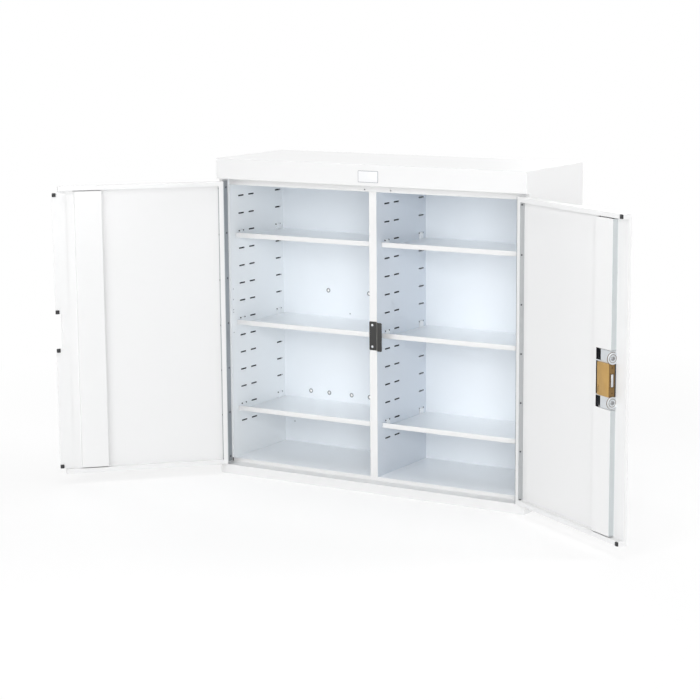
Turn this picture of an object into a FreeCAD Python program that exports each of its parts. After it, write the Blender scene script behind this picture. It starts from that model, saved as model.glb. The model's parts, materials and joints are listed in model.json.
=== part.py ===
import FreeCAD, Part
import os

from FreeCAD import Vector

# Two-door steel medicine cabinet, in millimetres: X to the right, Y to the back, Z up.
# The origin is the middle of the carcass footprint, on the plane that it stands on.
# The doors are made closed and then turned about their hinge pins to their open rest angles.

# Carcass
width = 930.0
height = 864.0
depth = 320.0
sheet = 1.2
fold_radius = 1.0
header_height = 55.0
rail_height = 26.0
sill_height = 9.5
head_stop_drop = 19.0
head_stop_return = 18.0
head_stop_rise = 32.0
frame_setback = 40.0
side_setback = 14.0
jamb_width = 9.0
liner_inset = 14.0
back_recess = 20.0
back_flange = 20.0
relief_width = 6.0
ceiling_upstand = 12.0
divider_width = 22.5
stop_hole_radius = 2.0
stop_hole_rise = 5.4
stop_hole_places = (-24.0, 55.0)

# Shelf slots, in columns set out from the door plane and from the back
slot_length = 26.0
slot_height = 4.0
slot_pitch = 48.0
slot_drop = 33.5
slot_floor_gap = 60.0
front_column = 53.4
middle_column = 102.1
back_column = 25.9

# Shelves and the clips that hook into the slots
shelf_drop = 15.0
shelf_lip = 12.0
shelf_setback = 23.0
shelf_back_gap = 2.8
shelf_side_gap = 1.5
shelf_count = 3
spare_rows = 2
clip_width = 22.0
clip_sheet = 1.0
clip_top_drop = 2.5
clip_foot = 12.0
clip_flange = 5.0
clip_flange_gap = 0.3
tongue_width = 14.0
tongue_height = 3.0
hook_rise = 8.0
hook_gap = 0.2

# Wall grommets in the back of the left compartment, set out from its floor and its liner
grommet_rise_low = 152.0
grommet_rise_high = 443.5
grommet_places_low = (88.0, 149.0, 223.0, 282.0)
grommet_places_high = (149.0, 282.0)
grommet_hole_radius = 4.5
grommet_bore_radius = 3.5
grommet_flange_radius = 6.5
grommet_flange = 1.2

# Bare label plate on the header
label_width = 60.0
label_height = 30.0
label_middle_x = 11.0
label_drop = 31.0
label_thickness = 0.8

# Doors
left_rest_angle = 134.5
right_rest_angle = 148.5
door_depth = 23.0
door_stop_gap = 4.0
door_top_gap = 7.0
door_bottom_gap = 2.0
door_skin = 1.0
door_box = 9.6
door_flange = 12.0
meeting_x = -9.0
meeting_gap = 3.0
lip_width = 42.0
channel_width = 72.0
channel_end_gap = 2.5
lap_reach = 16.5
lap_seat = 20.0
lap_thickness = 1.5
lap_top_gap = 5.3
lap_bottom_gap = 0.6
lap_lock_gap = 91.8
lap_lock_lift = 1.9
lap_clearance = 0.6
buffer_side = 10.0
buffer_height = 3.5
buffer_inset = 1.0

# Piano hinges
pin_radius = 1.5
pin_ahead = 0.5
running_clearance = 0.05
knuckle_radius = 2.5
knuckle_count = 25
knuckle_gap = 0.4
knuckle_relief = 3.2
leaf_thickness = 1.0
leaf_depth = 24.0
rivet_count = 7
rivet_low_gap = 13.0
rivet_high_gap = 18.5
rivet_setback = 17.1
rivet_radius = 1.6
rivet_head_radius = 3.0
rivet_head_top_radius = 1.8
rivet_head = 0.9

# Lock on the right door, and its strike on the divider
lock_height_above_floor = 377.5
lock_width = 49.0
lock_height = 78.0
lock_depth = 16.0
lock_wall = 2.0
cap_thickness = 2.0
strap_thickness = 1.5
ear_radius = 12.6
ear_rise = 8.6
ear_thickness = 5.0
ear_proud = 2.0
screw_spacing = 104.0
screw_head_radius = 5.0
screw_head = 2.5
screw_radius = 2.2
screw_length = 9.0
bracket_height = 138.0
bracket_flange_width = 42.0
bracket_flange = 2.0
bracket_front = 3.0
bracket_end = 2.7
bracket_end_reach = 12.0
cutout_width = 62.0
cutout_clearance = 1.0
bolt_height = 30.0
bolt_thickness = 6.0
bolt_head_length = 21.0
bolt_stem_length = 22.0
bolt_stem_height = 16.0
bolt_stem_thickness = 3.0
bolt_clearance = 0.3
bolt_behind_strike = 1.0
post_radius = 3.0
post_from_back = 20.0
lever_count = 3
lever_thickness = 1.0
lever_gap = 0.4
lever_length = 19.0
lever_height = 40.0
lever_above_stem = 0.5
key_hole_radius = 4.0
key_hole_drop = 26.0
key_hole_from_back = 29.0
escutcheon_radius = 13.0
escutcheon_thickness = 1.5
key_slot_width = 4.0
key_slot_length = 11.0
strike_left = 9.0
strike_bend = 9.0
strike_web = 6.0
strike_joggle = 12.0
strike_thickness = 1.5
strike_height = 76.0
strike_corner = 3.0
strike_clearance = 3.4
strike_rivet_x = -2.0
strike_rivet_spacing = 57.0
strike_rivet_radius = 3.2
strike_rivet_head = 1.0

# Places that follow from the sizes above
half_width = width / 2
front_y = -depth / 2
back_y = depth / 2
frame_y = front_y + frame_setback
panel_y = back_y - back_recess - sheet
side_front_y = front_y + side_setback
side_in = half_width - sheet
jamb_x = half_width - jamb_width
liner_x = half_width - liner_inset
half_divider = divider_width / 2
header_z = height - header_height
stop_z = header_z - head_stop_drop
ledge_z = rail_height
floor_z = rail_height + sill_height
top_z = height - sheet
ceiling_z = stop_z + sheet
slot_top_z = stop_z - slot_drop
slot_rows = 1 + int((slot_top_z - floor_z - slot_floor_gap) // slot_pitch)
slot_levels = [slot_top_z - row * slot_pitch for row in range(slot_rows)]
slot_columns = (frame_y + front_column, frame_y + middle_column, panel_y - back_column)
rows_between_shelves = (slot_rows - 2 * spare_rows) // (shelf_count - 1)
shelf_levels = [slot_levels[spare_rows + i * rows_between_shelves] for i in range(shelf_count)]
shelf_front_y = frame_y + shelf_setback
shelf_back_y = panel_y - shelf_back_gap
pin_x = jamb_x - knuckle_radius
hinge_edge = pin_x - knuckle_radius
door_face_y = frame_y - door_stop_gap - door_depth
pin_y = door_face_y - pin_ahead
door_low_z = ledge_z + door_bottom_gap
door_high_z = header_z - door_top_gap
left_door_width = hinge_edge + meeting_x - meeting_gap / 2
right_door_width = hinge_edge - meeting_x - meeting_gap / 2
right_box = door_box - lap_clearance
lock_z = floor_z + lock_height_above_floor
lock_u = right_door_width - lip_width
lock_face_x = hinge_edge - lock_u
strap_v = right_box + strap_thickness
case_v = strap_v + lock_depth - cap_thickness
cap_v = strap_v + lock_depth
wing_y = frame_y - strike_joggle
bolt_v = wing_y - door_face_y + bolt_behind_strike
ear_v = strap_v + ear_rise
solids = {}


def box(x0, x1, y0, y1, z0, z1):
    low_x, high_x = min(x0, x1), max(x0, x1)
    low_y, high_y = min(y0, y1), max(y0, y1)
    return Part.makeBox(high_x - low_x, high_y - low_y, z1 - z0, Vector(low_x, low_y, z0))


def joined(pieces):
    whole = pieces[0].fuse(pieces[1:])
    return whole.removeSplitter()


def rod(radius, start, way, length):
    return Part.makeCylinder(radius, length, start, way)


def rounded(shape, radius, chosen):
    edges = [edge for edge in shape.Edges if chosen(edge.CenterOfMass, edge)]
    return shape.makeFillet(radius, edges)


def near(first, second):
    return abs(first - second) < 0.01


def slots_through(x0, x1):
    # Obround shelf slots, as prisms along X that pass through a sheet between x0 and x1
    half = slot_length / 2 - slot_height / 2
    prisms = []
    for y in slot_columns:
        for z in slot_levels:
            bar = box(x0, x1, y - half, y + half, z - slot_height / 2, z + slot_height / 2)
            ends = [
                rod(slot_height / 2, Vector(min(x0, x1), y + end, z), Vector(1, 0, 0), abs(x1 - x0))
                for end in (-half, half)
            ]
            prisms.append(joined([bar] + ends))
    return Part.makeCompound(prisms)


def top_tray():
    top = box(-half_width, half_width, front_y, back_y, top_z, height)
    header = box(-side_in, side_in, front_y, front_y + sheet, header_z, top_z)
    underside = box(-side_in, side_in, front_y, frame_y, header_z, header_z + sheet)
    hanger = box(-side_in, side_in, back_y - sheet, back_y, top_z - back_flange, top_z)
    tray = joined([top, header, underside, hanger])
    return rounded(
        tray, fold_radius,
        lambda c, e: near(c.z, height) or (near(c.y, front_y) and near(c.z, header_z)),
    )


def head_stop():
    strip = box(-liner_x, liner_x, frame_y, frame_y + sheet, stop_z, header_z + head_stop_rise)
    shelf = box(-liner_x, liner_x, frame_y, frame_y + head_stop_return, stop_z, stop_z + sheet)
    stop = rounded(
        joined([strip, shelf]), fold_radius, lambda c, e: near(c.y, frame_y) and near(c.z, stop_z)
    )
    for x in stop_hole_places:
        hole = rod(
            stop_hole_radius, Vector(x, frame_y - sheet, stop_z + stop_hole_rise), Vector(0, 1, 0), 3 * sheet
        )
        stop = stop.cut(hole)
    return stop


def ceiling_panel():
    back = panel_y
    front = frame_y + sheet
    deck = box(-liner_x, liner_x, front, back, ceiling_z, ceiling_z + sheet)
    upstands = [
        box(s * (liner_x - sheet), s * liner_x, front, back, ceiling_z, ceiling_z + ceiling_upstand)
        for s in (-1, 1)
    ]
    return joined([deck] + upstands)


def floor_tray():
    rail = box(-side_in, side_in, front_y, front_y + sheet, 0, ledge_z)
    ledge = box(-side_in, side_in, front_y, frame_y, ledge_z - sheet, ledge_z)
    sill = box(-liner_x, liner_x, frame_y, frame_y + sheet, ledge_z - sheet, floor_z)
    link = box(-liner_x, liner_x, frame_y - sheet, frame_y + sheet, ledge_z - sheet, ledge_z)
    floor = box(-liner_x, liner_x, frame_y, panel_y, floor_z - sheet, floor_z)
    tray = joined([rail, ledge, link, sill, floor])
    return rounded(
        tray, fold_radius,
        lambda c, e: (near(c.y, front_y) and near(c.z, ledge_z)) or (near(c.y, frame_y) and near(c.z, floor_z)),
    )


def bottom_panel():
    return box(-side_in, side_in, front_y + sheet, back_y - sheet, 0, sheet)


def side_panel(s):
    skin = box(s * side_in, s * half_width, side_front_y, back_y, 0, top_z)
    base_end = box(s * side_in, s * half_width, front_y, side_front_y, 0, ledge_z)
    header_end = box(s * side_in, s * half_width, front_y, side_front_y, header_z, top_z)
    fold = box(s * jamb_x, s * half_width, side_front_y, side_front_y + sheet, ledge_z, header_z)
    jamb = box(s * jamb_x, s * (jamb_x + sheet), side_front_y, frame_y, ledge_z, header_z)
    rear = box(
        s * (half_width - back_flange), s * half_width, back_y - sheet, back_y, sheet, top_z - back_flange
    )
    panel = joined([skin, base_end, header_end, fold, jamb, rear])
    return rounded(
        panel, fold_radius,
        lambda c, e: near(abs(c.x), half_width) and (near(c.y, side_front_y) or near(c.y, back_y))
        and e.Length > height / 2,
    )


def side_liner(s):
    plate = box(s * liner_x, s * (liner_x + sheet), frame_y, panel_y, sheet, top_z)
    stile = box(s * liner_x, s * side_in, frame_y, frame_y + sheet, sheet, top_z)
    liner = joined([plate, stile])
    liner = rounded(
        liner, fold_radius, lambda c, e: near(abs(c.x), liner_x) and near(c.y, frame_y) and e.Length > height / 2
    )
    relief = box(
        s * (liner_x + sheet), s * (liner_x + relief_width), frame_y - sheet, frame_y + sheet, ledge_z, floor_z
    )
    return liner.cut(relief).cut(slots_through(s * (liner_x - sheet), s * (liner_x + 2 * sheet)))


def divider():
    high_z = stop_z
    front = box(-half_divider, half_divider, frame_y, frame_y + sheet, floor_z, high_z)
    faces = [
        box(s * (half_divider - sheet), s * half_divider, frame_y, panel_y, floor_z, high_z) for s in (-1, 1)
    ]
    post = rounded(
        joined([front] + faces), fold_radius,
        lambda c, e: near(abs(c.x), half_divider) and near(c.y, frame_y),
    )
    return post.cut(slots_through(-half_divider - sheet, half_divider + sheet))


def grommet_places():
    low = [(across - liner_x, floor_z + grommet_rise_low) for across in grommet_places_low]
    high = [(across - liner_x, floor_z + grommet_rise_high) for across in grommet_places_high]
    return low + high


def back_panel():
    panel = box(-side_in, side_in, panel_y, panel_y + sheet, sheet, top_z)
    holes = [
        rod(grommet_hole_radius, Vector(x, panel_y - sheet, z), Vector(0, 1, 0), 3 * sheet)
        for x, z in grommet_places()
    ]
    return panel.cut(Part.makeCompound(holes))


def wall_grommets():
    rings = []
    for x, z in grommet_places():
        start = Vector(x, panel_y - grommet_flange, z)
        back = Vector(0, 1, 0)
        flange = rod(grommet_flange_radius, start, back, grommet_flange)
        barrel = rod(grommet_hole_radius, start, back, grommet_flange + sheet)
        bore = rod(grommet_bore_radius, start, back, grommet_flange + sheet)
        rings.append(joined([flange, barrel]).cut(bore))
    return Part.makeCompound(rings)


def shelf(s, level):
    inner = half_divider + shelf_side_gap
    outer = liner_x - shelf_side_gap
    surface_z = level - shelf_drop
    deck = box(s * inner, s * outer, shelf_front_y, shelf_back_y, surface_z - sheet, surface_z)
    lip = box(
        s * inner, s * outer, shelf_front_y, shelf_front_y + sheet, surface_z - sheet, surface_z + shelf_lip
    )
    return rounded(
        joined([deck, lip]), fold_radius,
        lambda c, e: near(c.y, shelf_front_y) and near(c.z, surface_z - sheet),
    )


def shelf_clip(wall_x, inward, y, level):
    # A plate on the wall, a neck, tongue and hook through the slot, a foot under the shelf
    # and a front flange over it
    surface_z = level - shelf_drop
    under_z = surface_z - sheet
    plate_top_z = level - clip_top_drop
    half = clip_width / 2
    plate_x = wall_x + inward * clip_sheet
    hook_x = wall_x - inward * (sheet + hook_gap)
    hook_back_x = hook_x - inward * clip_sheet
    half_tongue = tongue_width / 2
    plate = box(wall_x, plate_x, y - half, y + half, under_z - clip_sheet, plate_top_z)
    neck = box(wall_x, plate_x, y - half_tongue, y + half_tongue, under_z, level + tongue_height / 2)
    flange = box(
        wall_x, wall_x + inward * clip_flange, y - half, y - half + clip_sheet,
        surface_z + clip_flange_gap, plate_top_z - clip_sheet,
    )
    foot = box(wall_x, wall_x + inward * clip_foot, y - half, y + half, under_z - clip_sheet, under_z)
    tongue = box(
        plate_x, hook_back_x, y - half_tongue, y + half_tongue,
        level - tongue_height / 2, level + tongue_height / 2,
    )
    hook = box(
        hook_x, hook_back_x, y - half_tongue, y + half_tongue, level - tongue_height / 2, level + hook_rise
    )
    return joined([plate, neck, flange, foot, tongue, hook])


def shelf_clips(s):
    clips = []
    for level in shelf_levels:
        for y in (slot_columns[0], slot_columns[2]):
            clips.append(shelf_clip(s * liner_x, -s, y, level))
            clips.append(shelf_clip(s * half_divider, s, y, level))
    return Part.makeCompound(clips)


def label_plate():
    middle_z = height - label_drop
    return rounded(
        box(
            label_middle_x - label_width / 2, label_middle_x + label_width / 2,
            front_y - label_thickness, front_y,
            middle_z - label_height / 2, middle_z + label_height / 2,
        ),
        fold_radius,
        lambda c, e: near(e.Length, label_thickness),
    )


def strike_plate():
    wing_end = lock_face_x - strike_clearance
    corners = [
        (-strike_left, frame_y),
        (strike_bend, frame_y),
        (strike_bend + strike_web, wing_y),
        (wing_end, wing_y),
        (wing_end, wing_y - strike_thickness),
        (strike_bend + strike_web - strike_thickness / 2, wing_y - strike_thickness),
        (strike_bend - strike_thickness / 2, frame_y - strike_thickness),
        (-strike_left, frame_y - strike_thickness),
    ]
    low_z = lock_z - strike_height / 2
    wire = Part.makePolygon([Vector(x, y, low_z) for x, y in corners + corners[:1]])
    plate = Part.Face(wire).extrude(Vector(0, 0, strike_height))
    return rounded(
        plate, strike_corner, lambda c, e: near(c.x, wing_end) and near(e.Length, strike_thickness)
    )


def strike_rivets():
    heads = []
    for end in (-1, 1):
        start = Vector(strike_rivet_x, frame_y - strike_thickness, lock_z + end * strike_rivet_spacing / 2)
        heads.append(
            Part.makeCone(
                strike_rivet_radius, strike_rivet_radius / 2, strike_rivet_head, start, Vector(0, -1, 0)
            )
        )
    return Part.makeCompound(heads)


def door_box_solid(s, u0, u1, v0, v1, z0, z1):
    # A box on a closed door: u runs from the hinge edge to the free edge, v from the outer face inwards
    return box(s * (hinge_edge - u0), s * (hinge_edge - u1), door_face_y + v0, door_face_y + v1, z0, z1)


def hung(s, shape):
    turned = shape.copy()
    angle = right_rest_angle if s > 0 else -left_rest_angle
    turned.rotate(Vector(s * pin_x, pin_y, 0), Vector(0, 0, 1), angle)
    return turned


def door_skin_tray(s, span, body):
    t = door_skin
    low, high = door_low_z, door_high_z
    walls = [
        door_box_solid(s, 0, span, 0, t, low, high),
        door_box_solid(s, 0, t, 0, door_depth, low, high),
        door_box_solid(s, span - t, span, 0, body, low, high),
        door_box_solid(s, 0, door_flange, door_depth - t, door_depth, low, high),
    ]
    for edge_z, into in ((low, 1), (high, -1)):
        wall_z = sorted((edge_z, edge_z + into * t))
        flange_z = sorted((edge_z, edge_z + into * door_flange))
        walls.append(door_box_solid(s, 0, span, 0, door_depth, *wall_z))
        walls.append(door_box_solid(s, 0, span, door_depth - t, door_depth, *flange_z))
        walls.append(door_box_solid(s, span - t, span, 0, door_depth, *flange_z))
    tray = joined(walls)
    hinge_x = s * hinge_edge
    return rounded(
        tray, min(fold_radius, 0.9 * t),
        lambda c, e: near(c.y, door_face_y)
        or (near(c.y, door_face_y + door_depth) and (near(c.x, hinge_x) or near(c.z, low) or near(c.z, high))),
    )


def door_pan(s, span, body):
    t = door_skin
    inner = door_flange - t
    low, high = door_low_z + inner, door_high_z - inner
    walls = [
        door_box_solid(s, inner, span - t, body - t, body, low, high),
        door_box_solid(s, inner, door_flange, body - t, door_depth - t, low, high),
        door_box_solid(s, inner, span - t, body - t, door_depth - t, low, low + t),
        door_box_solid(s, inner, span - t, body - t, door_depth - t, high - t, high),
    ]
    return joined(walls)


def door_channel(s, span, body):
    t = door_skin
    low = door_low_z + door_flange + channel_end_gap
    high = door_high_z - door_flange - channel_end_gap
    near_u = span - lip_width
    far_u = near_u - channel_width
    face = door_box_solid(s, far_u, near_u, door_depth - t, door_depth, low, high)
    webs = [
        door_box_solid(s, far_u, far_u + t, body, door_depth, low, high),
        door_box_solid(s, near_u - t, near_u, body, door_depth, low, high),
    ]
    return rounded(
        joined([face] + webs), min(fold_radius, 0.9 * t),
        lambda c, e: near(c.y, door_face_y + door_depth) and e.Length > channel_width * 1.5,
    )


def lap_strip(low, high):
    seat_u = left_door_width - lap_seat
    tip_u = left_door_width + lap_reach
    return door_box_solid(-1, seat_u, tip_u, door_box, door_box + lap_thickness, low, high)


def lap_ends():
    low = door_low_z + door_flange + lap_bottom_gap
    high = door_high_z - door_flange - lap_top_gap
    middle = lock_z + lap_lock_lift
    return [(low, middle - lap_lock_gap / 2), (middle + lap_lock_gap / 2, high)]


def left_buffers():
    tip_u = left_door_width + lap_reach - buffer_inset
    seat_v = door_box + lap_thickness
    pads = []
    for low, high in lap_ends():
        for start in (low + buffer_inset, high - buffer_inset - buffer_side):
            pads.append(
                door_box_solid(
                    -1, tip_u - buffer_side, tip_u, seat_v, seat_v + buffer_height, start, start + buffer_side
                )
            )
    return Part.makeCompound(pads)


def right_buffers():
    tip_u = right_door_width - buffer_inset
    pads = []
    for start in (door_low_z + buffer_inset, door_high_z - buffer_inset - buffer_side):
        pads.append(
            door_box_solid(
                1, tip_u - buffer_side, tip_u, door_depth, door_depth + buffer_height, start, start + buffer_side
            )
        )
    return Part.makeCompound(pads)


def knuckle_spans():
    pitch = (door_high_z - door_low_z) / knuckle_count
    return [
        (door_low_z + i * pitch + knuckle_gap / 2, door_low_z + (i + 1) * pitch - knuckle_gap / 2)
        for i in range(knuckle_count)
    ]


def rivet_levels():
    low = door_low_z + rivet_low_gap
    high = door_high_z - rivet_high_gap
    return [low + i * (high - low) / (rivet_count - 1) for i in range(rivet_count)]


def hinge_leaf(s, flat_x, inward, spans, bore_radius):
    # One leaf against flat_x, its thickness going inward, with its own knuckles round the pin
    back_x = flat_x + inward * leaf_thickness
    plate = box(flat_x, back_x, pin_y + knuckle_relief, pin_y + leaf_depth, door_low_z, door_high_z)
    pieces = [plate]
    for low, high in spans:
        pieces.append(box(flat_x, back_x, pin_y, pin_y + knuckle_relief, low, high))
        pieces.append(rod(knuckle_radius, Vector(s * pin_x, pin_y, low), Vector(0, 0, 1), high - low))
    leaf = joined(pieces)
    length = door_high_z - door_low_z
    leaf = leaf.cut(rod(bore_radius, Vector(s * pin_x, pin_y, door_low_z), Vector(0, 0, 1), length))
    holes = [
        rod(
            rivet_radius, Vector(min(flat_x, back_x), pin_y + rivet_setback, z), Vector(1, 0, 0), leaf_thickness
        )
        for z in rivet_levels()
    ]
    return leaf.cut(Part.makeCompound(holes))


def hinge_rivets(flat_x, inward):
    rivets = []
    way = Vector(inward, 0, 0)
    for z in rivet_levels():
        start = Vector(flat_x, pin_y + rivet_setback, z)
        seat = Vector(flat_x + inward * leaf_thickness, pin_y + rivet_setback, z)
        shank = rod(rivet_radius, start, way, leaf_thickness)
        head = Part.makeCone(rivet_head_radius, rivet_head_top_radius, rivet_head, seat, way)
        rivets.append(joined([shank, head]))
    return Part.makeCompound(rivets)


def hinge_pin(s):
    return rod(pin_radius, Vector(s * pin_x, pin_y, door_low_z), Vector(0, 0, 1), door_high_z - door_low_z)


def key_hole(v0, v1):
    u = lock_u - lock_width + key_hole_from_back
    place = Vector(hinge_edge - u, door_face_y + v0, lock_z - key_hole_drop)
    return rod(key_hole_radius, place, Vector(0, 1, 0), v1 - v0)


def lock_box(u0, u1, v0, v1, z0, z1):
    # A box on the lock: u from the back of its case, z from its middle
    back_u = lock_u - lock_width
    return door_box_solid(1, back_u + u0, back_u + u1, v0, v1, lock_z + z0, lock_z + z1)


def screw_places():
    return [
        Vector(lock_face_x - ear_proud, door_face_y + ear_v, lock_z + end * screw_spacing / 2) for end in (-1, 1)
    ]


def lock_ear(end):
    # A tab that stands on the door pan, with a round top about its screw
    ear_z = end * screw_spacing / 2
    inner, outer = lock_width - ear_thickness + ear_proud, lock_width + ear_proud
    tab = lock_box(inner, outer, right_box, ear_v, ear_z - ear_radius, ear_z + ear_radius)
    place = Vector(lock_face_x - ear_proud, door_face_y + ear_v, lock_z + ear_z)
    disc = rod(ear_radius, place, Vector(1, 0, 0), ear_thickness)
    below = lock_box(
        inner, outer, ear_v - 2 * ear_radius, right_box, ear_z - ear_radius, ear_z + ear_radius
    )
    return tab.fuse(disc).cut(below).removeSplitter()


def lock_bracket():
    half = bracket_height / 2
    case_end = lock_height / 2 + bolt_clearance
    pieces = [lock_box(0, lock_width, right_box, strap_v, -half, half)]
    for end in (-1, 1):
        foot_z = sorted((end * case_end, end * half))
        end_z = sorted((end * case_end, end * (case_end + bracket_end)))
        pieces.append(lock_box(lock_width - bracket_front, lock_width, right_box, door_depth, *foot_z))
        pieces.append(lock_box(-bracket_end_reach, lock_width, right_box, door_depth, *end_z))
        pieces.append(
            lock_box(
                lock_width - bracket_flange_width, lock_width,
                door_depth - bracket_flange, door_depth, *foot_z
            )
        )
        pieces.append(lock_ear(end))
    bracket = joined(pieces)
    for place in screw_places():
        bracket = bracket.cut(rod(screw_radius, place, Vector(1, 0, 0), screw_length))
    return bracket.cut(key_hole(right_box, strap_v))


def lock_case():
    half = lock_height / 2
    shell = lock_box(0, lock_width, strap_v, case_v, -half, half)
    hollow = lock_box(
        lock_wall, lock_width - lock_wall, strap_v + lock_wall, case_v, lock_wall - half, half - lock_wall
    )
    mouth = lock_box(
        lock_width - lock_wall, lock_width, bolt_v - bolt_clearance, case_v,
        -bolt_height / 2 - bolt_clearance, bolt_height / 2 + bolt_clearance,
    )
    return shell.cut(hollow).cut(mouth).cut(key_hole(strap_v, strap_v + lock_wall))


def lock_cap():
    half = lock_height / 2
    cap = lock_box(0, lock_width, case_v, cap_v, -half, half)
    return rounded(cap, fold_radius, lambda c, e: near(c.y, door_face_y + cap_v))


def lock_bolt():
    half = bolt_height / 2
    head_u = lock_width - bolt_head_length
    stem_u = head_u - bolt_stem_length
    half_stem = bolt_stem_height / 2
    head = lock_box(head_u, lock_width, bolt_v, bolt_v + bolt_thickness, -half, half)
    stem = lock_box(stem_u, head_u, bolt_v, bolt_v + bolt_stem_thickness, -half_stem, half_stem)
    fork_half = post_radius + bolt_clearance
    fork_end = post_from_back + fork_half
    fork = lock_box(stem_u, fork_end, bolt_v, bolt_v + bolt_stem_thickness, -fork_half, fork_half)
    return joined([head, stem]).cut(fork)


def lock_post():
    u = lock_u - lock_width + post_from_back
    place = Vector(hinge_edge - u, door_face_y + strap_v + lock_wall, lock_z)
    return rod(post_radius, place, Vector(0, 1, 0), case_v - strap_v - lock_wall)


def lock_levers():
    first_v = bolt_v + bolt_stem_thickness + lever_above_stem
    back_u = lock_width - bolt_head_length - bolt_clearance - lever_length
    levers = []
    for i in range(lever_count):
        v = first_v + i * (lever_thickness + lever_gap)
        plate = lock_box(
            back_u, back_u + lever_length, v, v + lever_thickness, -lever_height / 2, lever_height / 2
        )
        levers.append(plate.cut(lock_post()))
    return Part.makeCompound(levers)


def lock_screws():
    screws = []
    for place in screw_places():
        head = rod(screw_head_radius, place, Vector(-1, 0, 0), screw_head)
        shank = rod(screw_radius, place, Vector(1, 0, 0), screw_length)
        screws.append(joined([head, shank]))
    return Part.makeCompound(screws)


def right_channel():
    back_u = lock_u - cutout_width
    half = bracket_height / 2 + cutout_clearance
    opening = door_box_solid(
        1, back_u, lock_u, right_box - door_skin, door_depth + door_skin, lock_z - half, lock_z + half
    )
    return door_channel(1, right_door_width, right_box).cut(opening)


def keyhole_escutcheon():
    u = lock_u - lock_width + key_hole_from_back
    place = Vector(hinge_edge - u, door_face_y, lock_z - key_hole_drop)
    disc = rod(escutcheon_radius, place, Vector(0, -1, 0), escutcheon_thickness)
    slot = box(
        place.x - key_slot_width / 2, place.x + key_slot_width / 2,
        door_face_y - escutcheon_thickness, door_face_y, place.z - key_slot_length, place.z,
    )
    hole = rod(key_hole_radius, place, Vector(0, -1, 0), escutcheon_thickness)
    return disc.cut(joined([slot, hole]))


def add(name, shape):
    solids[name] = shape


add("top_tray", top_tray())
add("head_stop", head_stop())
add("ceiling_panel", ceiling_panel())
add("floor_tray", floor_tray())
add("bottom_panel", bottom_panel())
add("back_panel", back_panel())
add("divider", divider())
add("wall_grommets", wall_grommets())
add("label_plate", label_plate())
add("strike_plate", strike_plate())
add("strike_rivets", strike_rivets())

for side, s in (("left", -1), ("right", 1)):
    add(side + "_side", side_panel(s))
    add(side + "_liner", side_liner(s))
    for place, level in zip(("upper", "middle", "lower"), shelf_levels):
        add(side + "_" + place + "_shelf", shelf(s, level))
    add(side + "_shelf_clips", shelf_clips(s))
    spans = knuckle_spans()
    add(side + "_hinge_frame_leaf", hinge_leaf(s, s * jamb_x, -s, spans[0::2], pin_radius))
    add(side + "_hinge_frame_rivets", hinge_rivets(s * jamb_x, -s))
    add(side + "_hinge_pin", hinge_pin(s))
    door_leaf = hinge_leaf(s, s * hinge_edge, s, spans[1::2], pin_radius + running_clearance)
    add(side + "_hinge_door_leaf", hung(s, door_leaf))
    add(side + "_hinge_door_rivets", hung(s, hinge_rivets(s * hinge_edge, s)))

low_lap, high_lap = lap_ends()
add("left_door_skin", hung(-1, door_skin_tray(-1, left_door_width, door_box)))
add("left_door_pan", hung(-1, door_pan(-1, left_door_width, door_box)))
add("left_door_channel", hung(-1, door_channel(-1, left_door_width, door_box)))
add("left_door_upper_lap", hung(-1, lap_strip(*high_lap)))
add("left_door_lower_lap", hung(-1, lap_strip(*low_lap)))
add("left_door_buffers", hung(-1, left_buffers()))

right_skin = door_skin_tray(1, right_door_width, right_box).cut(key_hole(0, door_skin))
right_pan = door_pan(1, right_door_width, right_box).cut(key_hole(right_box - door_skin, right_box))
add("right_door_skin", hung(1, right_skin))
add("right_door_pan", hung(1, right_pan))
add("right_door_channel", hung(1, right_channel()))
add("right_door_buffers", hung(1, right_buffers()))
add("lock_bracket", hung(1, lock_bracket()))
add("lock_case", hung(1, lock_case()))
add("lock_cap", hung(1, lock_cap()))
add("lock_bolt", hung(1, lock_bolt()))
add("lock_post", hung(1, lock_post()))
add("lock_levers", hung(1, lock_levers()))
add("lock_screws", hung(1, lock_screws()))
add("keyhole_escutcheon", hung(1, keyhole_escutcheon()))

os.makedirs("parts", exist_ok=True)
for name, shape in solids.items():
    shape.exportStep(os.path.join("parts", name + ".step"))
    state = "valid" if shape.isValid() else "NOT VALID"
    print(name, state, len(shape.Solids), "solids", round(shape.Volume), "mm3")
print(len(solids), "nodes")
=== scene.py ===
import json
import math

import bmesh
import bpy
import numpy as np
from mathutils import Matrix, Vector


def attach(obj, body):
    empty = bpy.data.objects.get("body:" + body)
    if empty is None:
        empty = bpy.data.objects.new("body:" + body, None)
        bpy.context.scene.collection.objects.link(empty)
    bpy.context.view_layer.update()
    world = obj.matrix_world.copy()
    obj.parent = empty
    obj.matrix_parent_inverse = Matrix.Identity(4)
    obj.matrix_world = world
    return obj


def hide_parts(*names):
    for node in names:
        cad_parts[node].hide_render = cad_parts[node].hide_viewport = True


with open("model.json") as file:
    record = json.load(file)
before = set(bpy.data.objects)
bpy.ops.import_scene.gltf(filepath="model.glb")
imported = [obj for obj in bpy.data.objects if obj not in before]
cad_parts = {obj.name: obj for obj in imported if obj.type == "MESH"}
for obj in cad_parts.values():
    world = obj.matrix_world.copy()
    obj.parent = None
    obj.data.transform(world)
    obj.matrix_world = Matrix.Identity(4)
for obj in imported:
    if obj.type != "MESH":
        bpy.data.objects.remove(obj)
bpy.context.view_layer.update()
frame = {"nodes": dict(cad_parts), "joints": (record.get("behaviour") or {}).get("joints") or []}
print("frame loaded:", len(frame["nodes"]), "nodes")

# Sizes of pieces are millimetres in the cabinet's own frame: X right, Y back, Z up.
# Shaders, camera and lamps use metres in the same frame
mm = 0.001
doorPlane = {"hingeEdge": 451.0, "outerFace": -147.0}


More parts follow.
